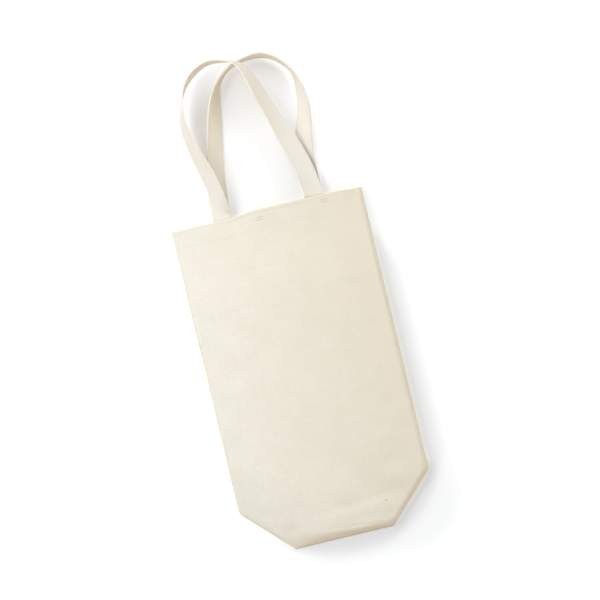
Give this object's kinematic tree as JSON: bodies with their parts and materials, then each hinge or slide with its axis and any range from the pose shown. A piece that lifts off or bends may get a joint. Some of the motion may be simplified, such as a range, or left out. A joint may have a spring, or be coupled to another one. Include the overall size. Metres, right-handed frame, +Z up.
{
  "type": "bottle carrier",
  "caption": "Flat-lying cotton bag for a bottle, with a tucked boxed base and strap handles that fold out over the front and back.",
  "frame": {"origin": "centre of the back panel's flat underside, on the surface that the bag lies on", "axes": "+X across the bag, +Y along it towards the mouth and the handles, +Z up from the surface it lies on"},
  "size_m": [0.2, 0.5085, 0.0423],
  "materials": {
    "canvas": "plain-woven natural cotton canvas, matt",
    "canvas_turned": "the same canvas turned over twice as a hem, matt",
    "canvas_inside": "the inner side of the same canvas, matt",
    "strap": "folded and edge-stitched cotton strap, matt"
  },
  "bodies": {
    "bag": {"back_panel": "canvas", "front_panel": "canvas", "back_hem": "canvas_turned", "front_hem": "canvas_turned", "back_base": "canvas_inside", "front_base": "canvas_inside", "left_corner_tuck": "canvas_inside", "right_corner_tuck": "canvas_inside", "left_side_seam": "canvas_inside", "right_side_seam": "canvas_inside", "base_seam": "canvas_inside", "left_corner_seam": "canvas_inside", "right_corner_seam": "canvas_inside", "back_strap_ends": "strap", "front_strap_ends": "strap"},
    "front_handle": {"front_handle": "strap"},
    "back_handle": {"back_handle": "strap"}
  },
  "joints": [
    {"name": "front_handle_fold", "type": "hinge", "parent": "bag", "child": "front_handle", "pos_m": [0.0025, 0.1738, 0.0108], "axis": [1, 0, 0], "range_deg": [0, 150]},
    {"name": "back_handle_fold", "type": "hinge", "parent": "bag", "child": "back_handle", "pos_m": [0.0025, 0.1738, 0.0012], "axis": [1, 0, 0], "range_deg": [-150, 0]}
  ]
}
